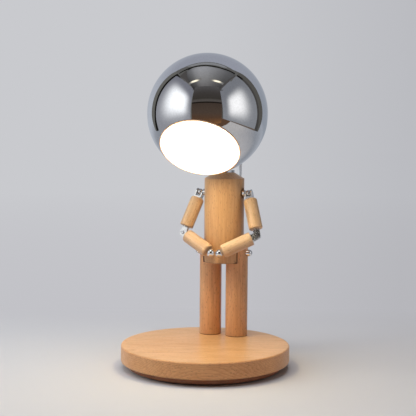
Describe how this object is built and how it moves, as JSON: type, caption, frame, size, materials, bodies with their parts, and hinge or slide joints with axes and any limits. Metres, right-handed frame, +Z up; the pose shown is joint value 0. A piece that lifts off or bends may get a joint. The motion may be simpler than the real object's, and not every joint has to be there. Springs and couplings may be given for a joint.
{
  "type": "desk lamp",
  "caption": "Desk lamp shaped as a standing wooden figure with jointed arms, on a round wooden base, with a chrome ball head that turns and tilts.",
  "frame": {"origin": "centre of the underside of the base", "axes": "+Z up, the figure faces -Y, +X is the figure's own left"},
  "size_m": [0.18, 0.2047, 0.3341],
  "materials": {
    "beech": "satin",
    "beech_base": "satin",
    "walnut_foot": "matt",
    "chrome": "polished",
    "steel": "satin",
    "ballast_steel": "matt",
    "bush_brass": "satin",
    "rubber_pad": "matt",
    "grommet_rubber": "matt",
    "lead_sheath": "satin",
    "circuit_board": "satin",
    "lamp_aluminium": "satin",
    "led": "gloss",
    "diffuser_glow": "matt, lit from behind",
    "ring_bronze": "satin",
    "black_plastic": "satin"
  },
  "bodies": {
    "base": {"foot_pad": "rubber_pad", "base_foot": "walnut_foot", "foot_screws": "steel", "base_disc": "beech_base", "ballast_plate": "ballast_steel", "ballast_screws": "steel", "driver_board": "circuit_board", "rear_panel": "black_plastic", "power_inlet": "black_plastic", "switch_body": "black_plastic", "leg_left": "beech", "leg_right": "beech", "leg_screws": "steel", "hip_bolt": "steel", "hip_nuts": "steel", "body": "beech", "shoulder_set_screws": "steel", "shoulder_bush_left": "bush_brass", "shoulder_bush_right": "bush_brass", "neck_collar": "chrome", "neck_bracket": "steel", "knuckle_screw": "steel", "knuckle_nut": "steel", "lead_grommet": "grommet_rubber", "head_lead": "lead_sheath"},
    "button": {"power_button": "black_plastic"},
    "neck_link": {"neck_knuckle": "steel", "neck_washer": "steel", "friction_washer": "steel", "lock_nut": "steel", "lead_relief": "grommet_rubber"},
    "head": {"head_shell": "chrome", "diffuser_ring": "ring_bronze", "diffuser": "diffuser_glow", "lamp_cup": "lamp_aluminium", "led_board": "lamp_aluminium", "led_chips": "led", "retaining_springs": "steel"},
    "shoulder_left": {"shoulder_barrel_left": "steel"},
    "upper_arm_left": {"shoulder_yoke_left": "steel", "yoke_screw_left": "steel", "upper_arm_left": "beech"},
    "elbow_left": {"elbow_tongue_left": "steel"},
    "forearm_left": {"elbow_fork_left": "steel", "elbow_screw_left": "steel", "forearm_left": "beech", "hand_ball_left": "chrome"},
    "shoulder_right": {"shoulder_barrel_right": "steel"},
    "upper_arm_right": {"shoulder_yoke_right": "steel", "yoke_screw_right": "steel", "upper_arm_right": "beech"},
    "elbow_right": {"elbow_tongue_right": "steel"},
    "forearm_right": {"elbow_fork_right": "steel", "elbow_screw_right": "steel", "forearm_right": "beech", "hand_ball_right": "chrome"}
  },
  "joints": [
    {"name": "button_press", "type": "slide", "parent": "base", "child": "button", "axis": [0, -1, 0], "range_m": [0, 0.0015], "stiffness_N_per_m": 400, "springref_m": -0.001},
    {"name": "head_tilt", "type": "hinge", "parent": "base", "child": "neck_link", "pos_m": [0, 0.0547, 0.2155], "axis": [-1, 0, 0], "range_deg": [-20, 30], "deforming": ["head_lead"]},
    {"name": "head_turn", "type": "hinge", "parent": "neck_link", "child": "head", "pos_m": [0, 0.002, 0.2702], "axis": [0, -0.6938, 0.7202], "range_deg": [-120, 120]},
    {"name": "shoulder_swing_left", "type": "hinge", "parent": "base", "child": "shoulder_left", "pos_m": [0.02865, 0.0547, 0.184], "axis": [-1, 0, 0], "range_deg": [0, 70]},
    {"name": "shoulder_splay_left", "type": "hinge", "parent": "shoulder_left", "child": "upper_arm_left", "pos_m": [0.02865, 0.0547, 0.184], "axis": [0, -0.9464, 0.3231], "range_deg": [0, 55]},
    {"name": "elbow_swivel_left", "type": "hinge", "parent": "upper_arm_left", "child": "elbow_left", "pos_m": [0.04437, 0.03943, 0.13928], "axis": [-0.3157, 0.3066, 0.898], "range_deg": [0, 90]},
    {"name": "elbow_bend_left", "type": "hinge", "parent": "elbow_left", "child": "forearm_left", "pos_m": [0.04437, 0.03943, 0.13928], "axis": [0.182, -0.9092, 0.3744], "range_deg": [0, 70]},
    {"name": "shoulder_swing_right", "type": "hinge", "parent": "base", "child": "shoulder_right", "pos_m": [-0.02865, 0.0547, 0.184], "axis": [-1, 0, 0], "range_deg": [0, 70]},
    {"name": "shoulder_splay_right", "type": "hinge", "parent": "shoulder_right", "child": "upper_arm_right", "pos_m": [-0.02865, 0.0547, 0.184], "axis": [0, 0.9451, -0.3266], "range_deg": [0, 55]},
    {"name": "elbow_swivel_right", "type": "hinge", "parent": "upper_arm_right", "child": "elbow_right", "pos_m": [-0.04221, 0.03905, 0.13871], "axis": [-0.2723, -0.3143, -0.9094], "range_deg": [0, 90]},
    {"name": "elbow_bend_right", "type": "hinge", "parent": "elbow_right", "child": "forearm_right", "pos_m": [-0.04221, 0.03905, 0.13871], "axis": [0.1801, 0.9118, -0.369], "range_deg": [0, 70]}
  ]
}
